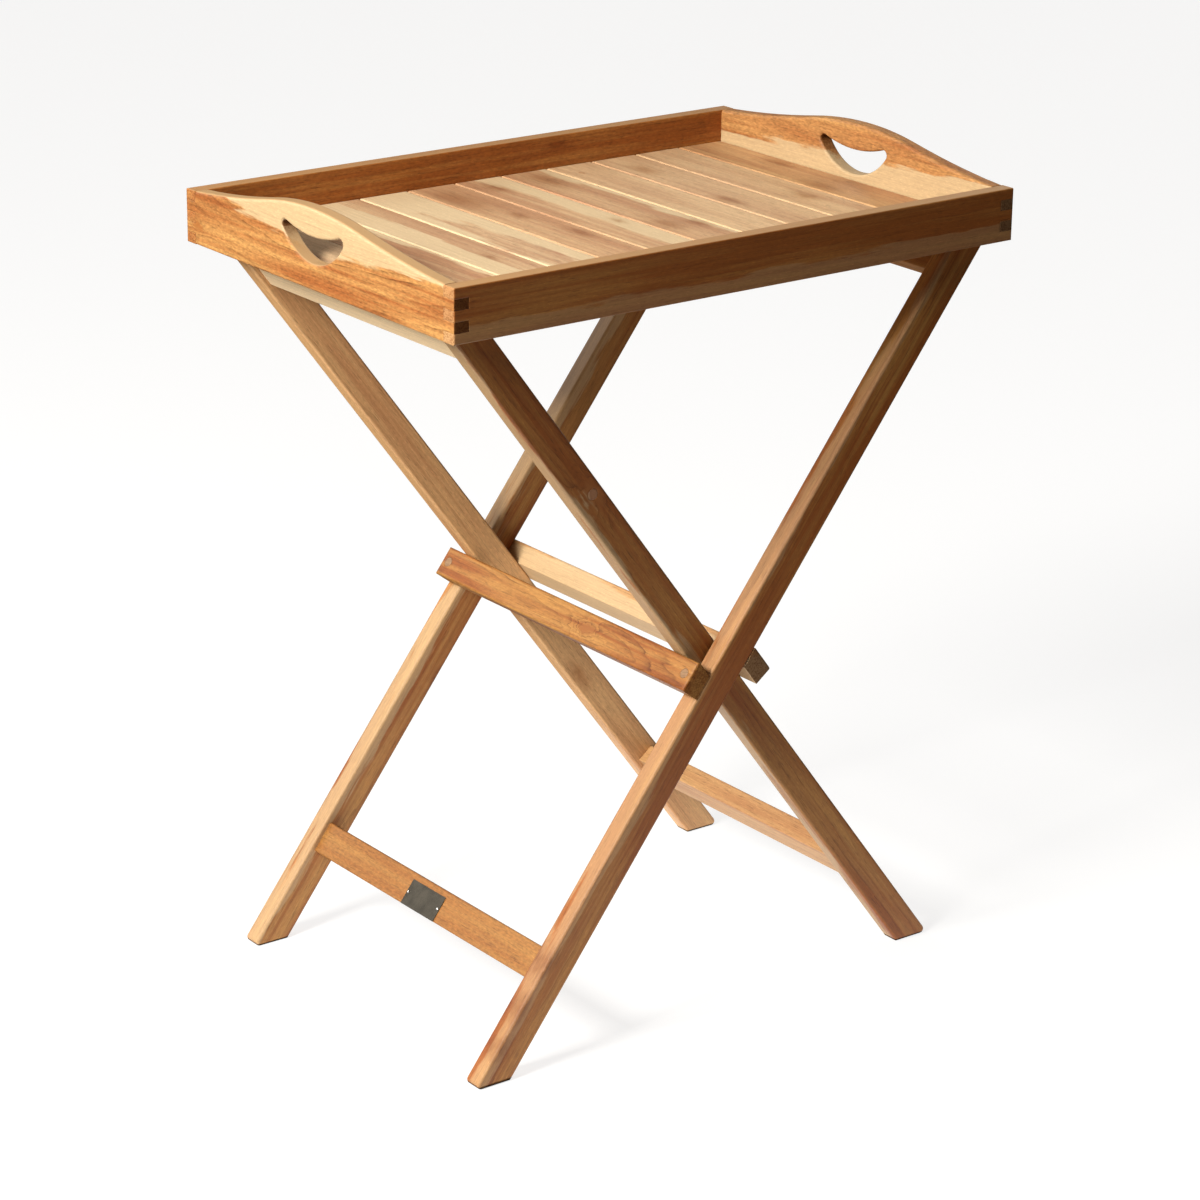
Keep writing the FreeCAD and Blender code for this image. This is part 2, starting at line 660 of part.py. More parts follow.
doc.recompute()
for item in doc.Objects:
    if "Invalid" in item.State or "Error" in item.State:
        raise RuntimeError(f"{item.Label} failed: {item.State}")
for item in sub_parts:
    if item.Shape.isNull() or not item.Shape.isValid():
        raise RuntimeError(f"{item.Label} has no valid shape")
for item in sub_parts:
    item.Shape.exportStep(f"parts/{item.Label}.step")
    print(item.Label, len(item.Shape.Solids), round(item.Shape.Volume))
print("lean", round(read("Worked.lean"), 3), "tray bottom", read("Worked.tray_bottom"))
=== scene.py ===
"""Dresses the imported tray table: teak, small metal parts, a pale floor, light and a camera.

The wood is a solid texture. Each board has its own place in a log, given by where the log's heart lies as
seen from the middle of the board, so faces, edges and end grain follow from one another. Wood sizes are in
millimetres, everything else in metres.
"""
import math
from typing import NamedTuple

import bpy
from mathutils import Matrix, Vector


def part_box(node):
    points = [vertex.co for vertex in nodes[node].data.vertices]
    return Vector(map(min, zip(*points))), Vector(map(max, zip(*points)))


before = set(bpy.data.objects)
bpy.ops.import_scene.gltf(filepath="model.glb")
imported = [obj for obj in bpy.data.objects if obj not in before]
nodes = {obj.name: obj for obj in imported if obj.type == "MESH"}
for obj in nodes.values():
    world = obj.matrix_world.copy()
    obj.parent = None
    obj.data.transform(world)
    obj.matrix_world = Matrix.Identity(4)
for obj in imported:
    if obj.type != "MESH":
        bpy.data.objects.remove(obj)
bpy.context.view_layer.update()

# Camera, at the photograph's place and angle
camera_place = (-2.1335, -2.8212, 1.6451)
camera_turn_degrees = (70.23, -0.64, -36.91)
camera_lens_mm = 112.66
camera_sensor_mm = 36.0

# Light: a broad key from the left, the glow of the floor, and weak suns from above, behind and the right
key_place = (-2.52, -0.35, 2.19)
key_aim = (0.0, 0.0, 0.6)
key_power = 190.0
key_size = (0.9, 0.8)
key_colour = (1.0, 0.985, 0.95)
glow_place = (-0.35, -0.35, 0.002)
glow_power = 9.8
glow_size = (1.5, 1.4)
glow_colour = (1.0, 0.985, 1.0)
top_from = (-0.1, 0.1, 1.0)
top_strength = 0.6
top_spread_degrees = 80.0
back_from = (-0.4, 0.8, 0.45)
back_strength = 1.0
back_spread_degrees = 40.0
side_from = (0.85, 0.4, 0.12)
side_strength = 0.7
side_spread_degrees = 50.0
sun_colour = (1.0, 1.0, 1.0)
room_colour = (1.0, 0.92, 0.85)
room_strength = 0.03
sky_strength = 0.9

floor_colour = (0.22, 0.22, 0.218)
floor_glow = (0.79, 0.785, 0.78)
floor_roughness = 0.9
floor_reach = 30.0

# Teak colours, linear: oiled heartwood, paler heartwood, sapwood, and what darkens or bleaches them
heart_gold = (0.42, 0.195, 0.048)
heart_brown = (0.268, 0.079, 0.0135)
pale_gold = (0.62, 0.43, 0.245)
pale_brown = (0.41, 0.215, 0.115)
sap_gold = (0.45, 0.305, 0.155)
sap_cream = (0.62, 0.455, 0.265)
ring_shade = (0.42, 0.34, 0.28)
stain_shade = (0.66, 0.54, 0.46)
knot_brown = (0.30, 0.105, 0.024)
end_dark = (0.10, 0.033, 0.007)
end_pale = (0.46, 0.29, 0.14)
pore_shade = (0.62, 0.52, 0.44)
# Faces that look up go towards this tan: paler wear on dark rails, painted shade that darkens brightly lit
# tops
top_wear_and_shade_colour = (0.375, 0.226, 0.102)

# Lengths of the grains in the wood, along, across and through the board
fibre_grain = (95.0, 1.3, 1.3)
fine_grain = (26.0, 0.45, 0.45)
mottle_grain = (5.0, 2.0, 2.0)
fray_grain = (11.0, 6.0, 6.0)
bend_grain = (430.0, 75.0, 75.0)
waver_grain = (70.0, 13.0, 13.0)
wave_grain = (110.0, 14.0, 14.0)
flame_grain = (28.0, 3.0, 3.0)

# How far the grains push things: the outline of spots, the rings, and the border of the sapwood
noise_middle = 0.5
fray_reach = (22.0, 9.0, 9.0)
bend_reach = (0.0, 24.0, 24.0)
waver_reach = (0.0, 7.0, 7.0)
wave_reach = 24.0
flame_reach = 8.0


class Spots(NamedTuple):
    """Spots in the wood: their lengths, how fine their noise is, and the stretch of it where they rise."""
    grain: tuple
    detail: float
    rise: tuple


# Patches where edges are paler, partly from wear and partly from a painted highlight
worn_lit_edge_spots = Spots((30.0, 9.0, 9.0), 2.0, (0.3, 0.7))
pore_dashes = Spots((16.0, 0.8, 0.8), 1.0, (0.62, 0.72))
flecks = Spots((4.5, 0.7, 0.7), 1.0, (0.62, 0.74))
end_pores = Spots((9.0, 1.6, 1.6), 3.0, (0.45, 0.65))
ring_breaks = Spots((60.0, 6.0, 6.0), 3.0, (0.38, 0.62))
brown_patches = Spots((260.0, 24.0, 40.0), 3.0, (0.3, 0.7))
brown_streaks = Spots((330.0, 6.0, 9.0), 3.0, (0.34, 0.70))

# Growth rings, in shares of a ring's width and of its depth of colour
ring_rise = (0.25, 0.92)
ring_line = (0.8, 0.92)
ring_fall = (0.93, 1.0)
line_share = 0.45
faintest_ring = 0.25
faintest_break = 0.3
sap_ring_share = 0.2

# How much each thing changes the wood's light and colour
plain_light = 0.64
fibre_contrast = 0.40
fine_contrast = 0.32
pore_darkness = 0.38
fleck_shine = 0.25
# Paler edges: partly wear, partly a painted highlight where rounded edges catch the light
edge_wear_and_highlight = 0.3
sap_calm = 0.75
sap_border = (-1.5, 2.5)
patch_weight = 0.65
streak_weight = 0.45
plain_spread = 0.35
figure_spread = 1.3
end_ring_share = 0.6

# Knots and stains, which are longer along the grain
knot_stretch = 2.0
knot_swell = 14.0
knot_core = (0.5, 1.05)
knot_figure = 0.5
stain_stretch = 2.4
least_spot = 0.01
no_spot = (0.0, 0.0, 0.0)

# How far a face looks along the board or up to be an end or a top, and how edges are found, in metres
end_range = (0.55, 0.9)
top_range = (0.6, 0.95)
edge_range = (0.02, 0.2)
edge_radius = 0.0018
edge_samples = 4

# Finish of the wood, with the depth of its bumps in metres
side_roughness = 0.42
end_roughness = 0.12
fibre_roughness = 0.22
rubbed_polish = 0.1
side_gloss = 0.28
end_dullness = 0.2
ring_height = 0.3
wood_bump = 0.35
wood_bump_depth = 0.0004

# Each board has a seed, which moves it to another place in the wood
first_seed = 1.0
seed_step = 1.7
seed_shift = (131.0, 71.0, 37.0)

# Millimetres in a metre, and directions in the room
millimetres = 1000.0
up = (0.0, 0.0, 1.0)
down = (0.0, 0.0, -1.0)

# Metal: its scratches and cloudy wear, in metres, and how much they show
scratch_width = 0.00025
cloud_size = (0.012, 0.012, 0.012)
scratch_weight = 0.6
cloud_weight = 0.4
wear_range = (0.35, 0.65)
cloud_roughness = 0.2
metal_bump = 0.2
metal_bump_depth = 0.0001

# Faces of one board count as one direction when they agree to so many digits, and as square within a share
direction_digits = 3
square_within = 0.05


# Node helpers
def add(tree, kind, **settings):
    node = tree.nodes.new(kind)
    for name, value in settings.items():
        setattr(node, name, value)
    return node


def feed(tree, socket, value):
    """Links another socket to this one, or sets this one's own value."""
    if isinstance(value, bpy.types.NodeSocket):
        tree.links.new(value, socket)
    else:
        socket.default_value = value


def work_out(tree, operation, *values, clamp=False):
    """A sum on numbers."""
    node = add(tree, "ShaderNodeMath", operation=operation, use_clamp=clamp)
    for socket, value in zip(node.inputs, values):
        feed(tree, socket, value)
    return node.outputs["Value"]


def scale_and_shift(tree, value, scale, shift):
    return work_out(tree, "MULTIPLY_ADD", value, scale, shift)


def work_out_vector(tree, operation, first, second):
    """A sum on vectors. A dot product gives a number."""
    node = add(tree, "ShaderNodeVectorMath", operation=operation)
    feed(tree, node.inputs[0], first)
    feed(tree, node.inputs[1], second)
    return node.outputs["Value" if operation == "DOT_PRODUCT" else "Vector"]


def split(tree, vector):
    node = add(tree, "ShaderNodeSeparateXYZ")
    feed(tree, node.inputs["Vector"], vector)
    return node.outputs["X"], node.outputs["Y"], node.outputs["Z"]


def length(tree, first, second):
    """Length of a vector with two parts."""
    squares = work_out(tree, "ADD", work_out(tree, "MULTIPLY", first, first),
                       work_out(tree, "MULTIPLY", second, second))
    return work_out(tree, "SQRT", squares)


def step_up(tree, value, low, high):
    """Rises smoothly from 0 at low to 1 at high."""
    node = add(tree, "ShaderNodeMapRange", interpolation_type="SMOOTHSTEP")
    feed(tree, node.inputs["Value"], value)
    feed(tree, node.inputs["From Min"], low)
    feed(tree, node.inputs["From Max"], high)
    return node.outputs["Result"]


def mix_colours(tree, share, first, second, kind="MIX"):
    node = add(tree, "ShaderNodeMix", data_type="RGBA", blend_type=kind)
    feed(tree, node.inputs["Factor"], share)
    for socket, colour in ((node.inputs["A"], first), (node.inputs["B"], second)):
        feed(tree, socket, colour if isinstance(colour, bpy.types.NodeSocket) else (*colour, 1.0))
    return node.outputs["Result"]


def as_grey(tree, value):
    node = add(tree, "ShaderNodeCombineColor")
    for socket in node.inputs:
        feed(tree, socket, value)
    return node.outputs["Color"]


def noise(tree, place, lengths, detail=2.0, output="Fac"):
    """Noise whose grains have the given lengths along the three axes."""
    shares = tuple(1.0 / part for part in lengths)
    node = add(tree, "ShaderNodeTexNoise", noise_dimensions="3D")
    feed(tree, node.inputs["Vector"], work_out_vector(tree, "MULTIPLY", place, shares))
    feed(tree, node.inputs["Scale"], 1.0)
    feed(tree, node.inputs["Detail"], detail)
    return node.outputs[output]


def spots(tree, place, kind):
    """1 in the spots and 0 between them, with soft borders."""
    return step_up(tree, noise(tree, place, kind.grain, kind.detail), *kind.rise)


def drift(tree, place, grain, reach):
    """A push to and fro, up to half the reach each way."""
    middle = (noise_middle, noise_middle, noise_middle)
    push = work_out_vector(tree, "SUBTRACT", noise(tree, place, grain, output="Color"), middle)
    return work_out_vector(tree, "MULTIPLY", push, reach)


def at_least(tree, value, least):
    """Squeezes 0 to 1 into the stretch from least to 1."""
    return scale_and_shift(tree, value, 1.0 - least, least)


def new_material(name):
    material = bpy.data.materials.new(name)
    material.use_nodes = True
    tree = material.node_tree
    return material, tree, tree.nodes["Principled BSDF"]


def dress(thing, material):
    thing.data.materials.clear()
    thing.data.materials.append(material)


def roughen(tree, shader, height, strength, depth, normal=None):
    bump = add(tree, "ShaderNodeBump")
    feed(tree, bump.inputs["Strength"], strength)
    feed(tree, bump.inputs["Distance"], depth)
    feed(tree, bump.inputs["Height"], height)
    if normal:
        feed(tree, bump.inputs["Normal"], normal)
    feed(tree, shader.inputs["Normal"], bump.outputs["Normal"])


# Teak: one group that all boards share
teak_stains = ("Stain 1", "Stain 2", "Stain 3")
teak_places = ("Place", "Knot", *teak_stains)
teak_numbers = (
    "End facing", "Top facing", "Edge", "Heart across", "Heart depth", "Lean across", "Lean depth", "Bow",
    "Ring width", "Sap distance", "Sap strength", "Tone", "Pale", "Shade", "Figure", "Mottle",
    "End darkness", "Top wear and shade", "Seed",
)
teak_results = ("Roughness", "Gloss", "Height")


def make_teak():
    tree = bpy.data.node_groups.new("teak", "ShaderNodeTree")
    for name in teak_places:
        tree.interface.new_socket(name, in_out="INPUT", socket_type="NodeSocketVector")
    for name in teak_numbers:
        tree.interface.new_socket(name, in_out="INPUT", socket_type="NodeSocketFloat")
    tree.interface.new_socket("Colour", in_out="OUTPUT", socket_type="NodeSocketColor")
    for name in teak_results:
        tree.interface.new_socket(name, in_out="OUTPUT", socket_type="NodeSocketFloat")
    given = add(tree, "NodeGroupInput").outputs
    result = add(tree, "NodeGroupOutput").inputs

    seed = add(tree, "ShaderNodeCombineXYZ")
    for socket, shift in zip(seed.inputs, seed_shift):
        feed(tree, socket, work_out(tree, "MULTIPLY", given["Seed"], shift))
    place = work_out_vector(tree, "ADD", given["Place"], seed.outputs["Vector"])
    frayed = work_out_vector(tree, "ADD", given["Place"], drift(tree, place, fray_grain, fray_reach))

    knot = spot(tree, frayed, given["Knot"], knot_stretch)
    radius = scale_and_shift(tree, knot, knot_swell, log_radius(tree, given, place))
    ring = ring_depth(tree, given, radius)
    sap = sap_share(tree, given, place, radius)
    fibre = noise(tree, place, fibre_grain, detail=3.0)
    # Edges are made paler: partly wear, partly a painted highlight where the rounded edges would catch
    # light
    worn_lit_edge = work_out(tree, "MULTIPLY", given["Edge"], spots(tree, place, worn_lit_edge_spots))
    light = fibre_light(tree, given, place, sap, fibre, worn_lit_edge)
    end = step_up(tree, given["End facing"], *end_range)

    colour = heartwood(tree, given, place, ring, knot)
    colour = mix_colours(tree, sap, colour, sapwood(tree, given, ring))
    colour = mix_colours(tree, 1.0, colour, as_grey(tree, light), kind="MULTIPLY")
    for stain in teak_stains:
        stained = spot(tree, frayed, given[stain], stain_stretch)
        colour = mix_colours(tree, stained, colour, stain_shade, kind="MULTIPLY")
    colour = mix_colours(tree, step_up(tree, knot, *knot_core), colour, knot_brown)
    colour = mix_colours(tree, 1.0, colour, as_grey(tree, given["Shade"]), kind="MULTIPLY")
    colour = end_grain(tree, given, place, end, ring, colour)
    # Faces that look up go towards one tan: paler wear on dark rails, painted shade on brightly lit tops
    top_wear_and_shade = work_out(tree, "MULTIPLY", step_up(tree, given["Top facing"], *top_range), given["Top wear and shade"])
    feed(tree, result["Colour"], mix_colours(tree, top_wear_and_shade, colour, top_wear_and_shade_colour))

    rough = scale_and_shift(tree, end, end_roughness, side_roughness)
    rough = scale_and_shift(tree, fibre, fibre_roughness, rough)
    feed(tree, result["Roughness"], scale_and_shift(tree, worn_lit_edge, -rubbed_polish, rough))
    feed(tree, result["Gloss"], scale_and_shift(tree, end, -end_dullness, side_gloss))
    feed(tree, result["Height"], scale_and_shift(tree, ring, -ring_height, light))
    return tree


def log_radius(tree, given, place):
    """Distance from the log's heart, which leans through the board and bends the rings a little."""
    bend = drift(tree, place, bend_grain, bend_reach)
    waver = drift(tree, place, waver_grain, waver_reach)
    bent = work_out_vector(tree, "ADD", given["Place"], work_out_vector(tree, "ADD", bend, waver))
    along, across, depth = split(tree, bent)
    heart_across = scale_and_shift(tree, along, given["Lean across"], given["Heart across"])
    along_squared = work_out(tree, "MULTIPLY", along, along)
    heart_across = scale_and_shift(tree, along_squared, given["Bow"], heart_across)
    heart_depth = scale_and_shift(tree, along, given["Lean depth"], given["Heart depth"])
    return length(tree, work_out(tree, "SUBTRACT", across, heart_across),
                  work_out(tree, "SUBTRACT", depth, heart_depth))


def spot(tree, place, middle, stretch):
    """1 in the middle of a knot or stain, falling off around it, longer along the grain than across it."""
    along, across, _ = split(tree, place)
    middle_along, middle_across, size = split(tree, middle)
    size = work_out(tree, "MAXIMUM", size, least_spot)
    along = work_out(tree, "DIVIDE", work_out(tree, "SUBTRACT", along, middle_along), size)
    across = work_out(tree, "DIVIDE", work_out(tree, "SUBTRACT", across, middle_across), size)
    reach = length(tree, work_out(tree, "DIVIDE", along, stretch), across)
    fall = work_out(tree, "MULTIPLY", work_out(tree, "MULTIPLY", reach, reach), -1.0)
    return work_out(tree, "EXPONENT", fall)


def ring_depth(tree, given, radius):
    """How dark a growth ring is: it deepens to a dark line and ends sharply. Some rings are fainter."""
    phase = work_out(tree, "DIVIDE", radius, given["Ring width"])
    share = work_out(tree, "FRACT", phase)
    line = work_out(tree, "MULTIPLY", step_up(tree, share, *ring_line), line_share)
    depth = scale_and_shift(tree, step_up(tree, share, *ring_rise), 1.0 - line_share, line)
    fall = work_out(tree, "SUBTRACT", 1.0, step_up(tree, share, *ring_fall))
    depth = work_out(tree, "MULTIPLY", depth, fall)
    year = add(tree, "ShaderNodeTexWhiteNoise", noise_dimensions="1D")
    feed(tree, year.inputs["W"], work_out(tree, "ADD", work_out(tree, "FLOOR", phase), given["Seed"]))
    depth = work_out(tree, "MULTIPLY", depth, at_least(tree, year.outputs["Value"], faintest_ring))
    breaks = spots(tree, given["Place"], ring_breaks)
    return work_out(tree, "MULTIPLY", depth, at_least(tree, breaks, faintest_break))


def fibre_light(tree, given, place, sap, fibre, worn_lit_edge):
    """Light and dark fibres, mottling, dark pores, pale flecks, and edges paler from wear and from a
    painted highlight, about 1 in the middle.
    """
    calm = scale_and_shift(tree, sap, -sap_calm, 1.0)
    mottling = work_out(tree, "MULTIPLY", given["Mottle"], calm)
    mottle = work_out(tree, "SUBTRACT", noise(tree, place, mottle_grain, detail=3.0), noise_middle)
    light = scale_and_shift(tree, mottle, mottling, plain_light)
    light = scale_and_shift(tree, fibre, fibre_contrast, light)
    light = scale_and_shift(tree, noise(tree, place, fine_grain), fine_contrast, light)
    pores = work_out(tree, "MULTIPLY", spots(tree, place, pore_dashes), calm)
    light = work_out(tree, "MULTIPLY", light, scale_and_shift(tree, pores, -pore_darkness, 1.0))
    # Edges lightened: wear and a painted highlight
    shine = scale_and_shift(tree, worn_lit_edge, edge_wear_and_highlight, 1.0)
    shine = scale_and_shift(tree, spots(tree, place, flecks), fleck_shine, shine)
    return work_out(tree, "MULTIPLY", light, shine)


def heartwood(tree, given, place, ring, knot):
    """Goes from gold to brown in patches and streaks, with darker ring lines."""
    middle = (patch_weight + streak_weight) / 2
    spread = scale_and_shift(tree, spots(tree, place, brown_streaks), streak_weight, -middle)
    spread = scale_and_shift(tree, spots(tree, place, brown_patches), patch_weight, spread)
    strength = scale_and_shift(tree, given["Figure"], figure_spread, plain_spread)
    brown = work_out(tree, "MULTIPLY_ADD", spread, strength, given["Tone"], clamp=True)
    oiled = mix_colours(tree, brown, heart_gold, heart_brown)
    pale = mix_colours(tree, brown, pale_gold, pale_brown)
    heart = mix_colours(tree, given["Pale"], oiled, pale)
    figure = scale_and_shift(tree, knot, knot_figure, given["Figure"])
    lines = work_out(tree, "MULTIPLY", ring, figure, clamp=True)
    return mix_colours(tree, lines, heart, ring_shade, kind="MULTIPLY")


def sapwood(tree, given, ring):
    sap = mix_colours(tree, given["Pale"], sap_gold, sap_cream)
    lines = work_out(tree, "MULTIPLY", ring, sap_ring_share)
    return mix_colours(tree, lines, sap, ring_shade, kind="MULTIPLY")


def sap_share(tree, given, place, radius):
    """1 in the sapwood, which lies outside the heartwood with a wavy border."""
    past_border = work_out(tree, "SUBTRACT", radius, given["Sap distance"])
    for grain, reach in ((wave_grain, wave_reach), (flame_grain, flame_reach)):
        past_border = work_out(tree, "SUBTRACT", past_border, reach * noise_middle)
        past_border = scale_and_shift(tree, noise(tree, place, grain, detail=3.0), reach, past_border)
    return work_out(tree, "MULTIPLY", step_up(tree, past_border, *sap_border), given["Sap strength"])


def end_grain(tree, given, place, end, ring, colour):
    """Cut ends are darker or paler than the sides, with open pores, more of them where rings are dark."""
    darkened = work_out(tree, "MULTIPLY", end, given["End darkness"], clamp=True)
    paleness = work_out(tree, "MULTIPLY", given["End darkness"], -1.0)
    bleached = work_out(tree, "MULTIPLY", end, paleness, clamp=True)
    colour = mix_colours(tree, darkened, colour, end_dark)
    colour = mix_colours(tree, bleached, colour, end_pale)
    pores = scale_and_shift(tree, ring, end_ring_share, spots(tree, place, end_pores))
    open_share = work_out(tree, "MULTIPLY", end, pores, clamp=True)
    return mix_colours(tree, open_share, colour, pore_shade, kind="MULTIPLY")


class Board(NamedTuple):
    """A board's place in its log and its looks."""
    # The log's heart, across and through the board, its slopes along the board, and its rise with the
    # square of the distance from the middle
    heart: tuple = (0.0, -60.0)
    lean: tuple = (0.0, 0.0)
    bow: float = 0.0
    # Width of a growth ring, distance from the heart to the sapwood, and how clear the sapwood is
    rings: float = 5.0
    sap: float = 200.0
    sap_strength: float = 1.0
    # From gold to brown, from oiled to pale, and how light it all is
    tone: float = 0.4
    pale: float = 0.0
    shade: float = 1.0
    # Strength of the ring lines and of the mottling
    figure: float = 0.5
    mottle: float = 0.4
    # How dark the end grain is, or below 0 how pale, and how far the face that looks up goes to one tan:
    # worn paler on dark rails, painted shade on brightly lit tops
    ends: float = 0.7
    top_wear_and_shade: float = 0.0
    # Places along and across the board with a size
    knot: tuple = no_spot
    stains: tuple = ()


boards = {
    "tray_front_rail": Board(heart=(62.0, 4.0), rings=5.5, sap=71.0, sap_strength=0.3, tone=0.95,
                             figure=0.4, ends=-0.45, top_wear_and_shade=0.75),
    "tray_back_rail": Board(heart=(70.0, -30.0), rings=6.0, tone=0.95, shade=1.05, figure=0.5,
                            mottle=1.0, ends=-0.2, top_wear_and_shade=0.6, stains=[(-100.0, 17.0, 6.0)]),
    "tray_left_end": Board(heart=(-62.0, -60.0), lean=(0.02, 0.0), bow=0.00045, rings=6.0, sap=83.0,
                           tone=0.55, pale=0.08, shade=0.92, figure=1.0, mottle=1.2, ends=0.9, top_wear_and_shade=1.0,
                           knot=(205.0, -18.0, 7.0)),
    "tray_right_end": Board(heart=(60.0, 14.0), lean=(-0.05, 0.0), rings=6.0, sap=64.0, tone=0.52,
                            pale=0.12, shade=0.91, figure=0.45, mottle=1.3, ends=0.78),
    "outer_leg_front": Board(heart=(42.0, 18.0), lean=(-0.011, 0.0), rings=4.5, sap=60.5,
                             sap_strength=0.4, tone=0.78, figure=0.7,
                             stains=[(-345.0, -18.0, 6.0), (-395.0, -18.0, 7.0), (-435.0, -16.0, 6.0)]),
    "outer_leg_back": Board(heart=(30.0, 20.0), sap=47.5, sap_strength=0.65, tone=0.55, pale=0.05,
                            figure=0.6, stains=[(-150.0, 14.0, 6.0)]),
    "inner_leg_front": Board(heart=(30.0, -40.0), lean=(0.004, 0.0), rings=4.5, sap=54.5,
                             sap_strength=0.7, tone=0.62, shade=0.9, figure=0.6, knot=(232.5, 6.3, 14.0)),
    "inner_leg_back": Board(heart=(-45.0, 30.0), rings=5.5, tone=0.15, pale=0.35, shade=1.2, figure=0.4,
                            stains=[(-60.0, -10.0, 9.0), (-190.0, -4.0, 8.0)]),
    "outer_top_rail": Board(heart=(25.0, 50.0), tone=0.5),
    "outer_lower_rail": Board(heart=(8.0, -42.0), lean=(0.0, 0.03), rings=4.0, tone=0.4, shade=0.74,
                              figure=0.15, mottle=1.0),
    "outer_stop_rail": Board(heart=(-6.0, -40.0), lean=(0.0, 0.05), rings=3.5, tone=0.4, shade=0.82,
                             figure=1.0, mottle=0.6, ends=0.3, knot=(-42.0, 0.0, 10.0)),
    # Painted light: this rail is made pale and extra light so it looks lit in its shade under the tray; in
    # full light it looks bleached
    "inner_top_rail": Board(heart=(40.0, -50.0), sap=40.0, pale=1.0, tone=0.2, shade=1.25, figure=0.3),
    "inner_lower_rail": Board(heart=(-32.0, 36.0), tone=0.3, pale=0.3, shade=0.92, figure=0.4),
    "inner_stop_rail": Board(heart=(36.0, 40.0), sap=38.0, sap_strength=0.8, pale=0.3, tone=0.25,
                             shade=0.95, figure=0.3),
}
slats = [
    Board(heart=(18.0, -34.0), lean=(0.0, 0.02), tone=0.4, pale=0.9, figure=0.35),
    Board(heart=(-30.0, -20.0), lean=(0.01, 0.0), sap=58.0, tone=0.8, pale=0.75, figure=0.3),
    Board(heart=(34.0, -18.0), lean=(-0.02, 0.0), sap=41.0, tone=0.55, pale=0.85, shade=0.92, figure=0.4,
          stains=[(49.0, 3.0, 5.0)]),
    Board(heart=(-5.0, 4.3), lean=(0.0, 0.09), rings=4.0, sap=15.0, tone=0.6, pale=0.9, shade=0.95,
          figure=0.5),
    Board(heart=(14.0, -30.0), lean=(0.0, 0.03), tone=0.6, pale=0.7, figure=0.25,
          stains=[(-150.0, -6.0, 20.0), (-65.0, 5.0, 6.0), (24.0, 15.0, 8.0)]),
    Board(heart=(-30.0, -20.0), lean=(0.02, 0.0), sap=44.0, tone=0.45, pale=0.75, figure=0.4,
          stains=[(-170.0, -6.0, 9.0), (7.0, 14.0, 5.0)]),
    Board(heart=(-20.0, -24.0), lean=(0.0, 0.02), sap=51.0, tone=0.62, pale=0.72, figure=0.25,
          stains=[(-168.0, -1.0, 16.0), (42.0, -11.0, 11.0), (57.0, 16.0, 7.0)]),
    Board(heart=(20.0, -40.0), lean=(0.0, -0.05), rings=6.0, tone=0.2, pale=0.8, figure=0.25,
          knot=(-173.0, -10.0, 4.0)),
    Board(heart=(-6.0, -44.0), lean=(0.0, 0.05), tone=0.35, pale=0.8, figure=0.25,
          stains=[(-148.0, -5.0, 10.0), (2.0, -15.0, 8.0)]),
    Board(heart=(24.0, -36.0), lean=(0.0, 0.03), tone=0.25, pale=0.75, figure=0.25,
          stains=[(32.0, 2.0, 8.0)]),
    Board(heart=(12.0, -34.0), lean=(0.0, 0.05), tone=0.4, pale=0.4, figure=0.4,
          stains=[(-93.0, 15.0, 10.0), (7.0, -15.0, 11.0)]),
]
for number, slat in enumerate(slats, start=1):
    boards[f"tray_slat_{number:02d}"] = slat
plug_shades = {"outer_stop_plugs": 0.54, "inner_stop_plugs": 0.54, "inner_leg_plug": 0.85}
for name, shade in plug_shades.items():
    boards[name] = Board(heart=(14.0, -16.0), rings=3.0, tone=0.7, pale=0.6, shade=shade, ends=0.0)


def lay_of(node):
    """Unit vectors along a board, across its wide faces and through them, from its largest faces."""
    areas = {}
    for face in node.data.polygons:
        normal = face.normal
        if max(normal, key=abs) < 0:
            normal = -normal
        direction = tuple(round(part, direction_digits) for part in normal)
        areas[direction] = areas.get(direction, 0.0) + face.area
    directions = [Vector(d).normalized() for d in sorted(areas, key=areas.get, reverse=True)]
    through = directions[0]
    across = next(d for d in directions if abs(d.dot(through)) < square_within)
    return across.cross(through), across, through


